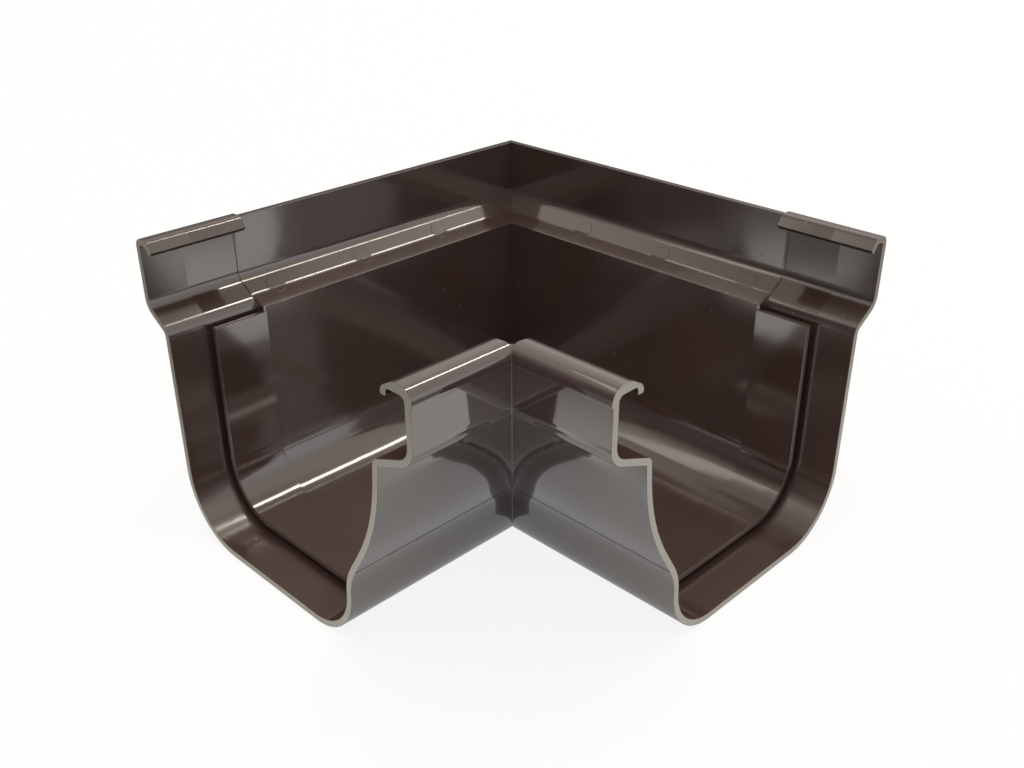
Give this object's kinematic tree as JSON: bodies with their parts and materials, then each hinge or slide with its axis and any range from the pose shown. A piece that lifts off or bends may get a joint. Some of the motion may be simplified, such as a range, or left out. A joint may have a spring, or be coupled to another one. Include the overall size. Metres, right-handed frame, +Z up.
{
  "type": "internal gutter angle",
  "caption": "Internal right-angle corner for a moulded ogee gutter: open channel with an ogee front, a stepped back wall, and a double-walled socket with hook and lip at each end.",
  "frame": {"origin": "middle of the bounding box in plan, on the surface that the two sockets stand on", "axes": "+Z up; one arm runs along +X and the other along +Y from the back corner, which lies at -X -Y; the ogee front faces +X and +Y"},
  "size_m": [0.215, 0.215, 0.1358],
  "materials": {
    "brown_pvc": "glossy dark brown"
  },
  "bodies": {
    "root": {"gutter_angle": "brown_pvc"}
  },
  "joints": []
}
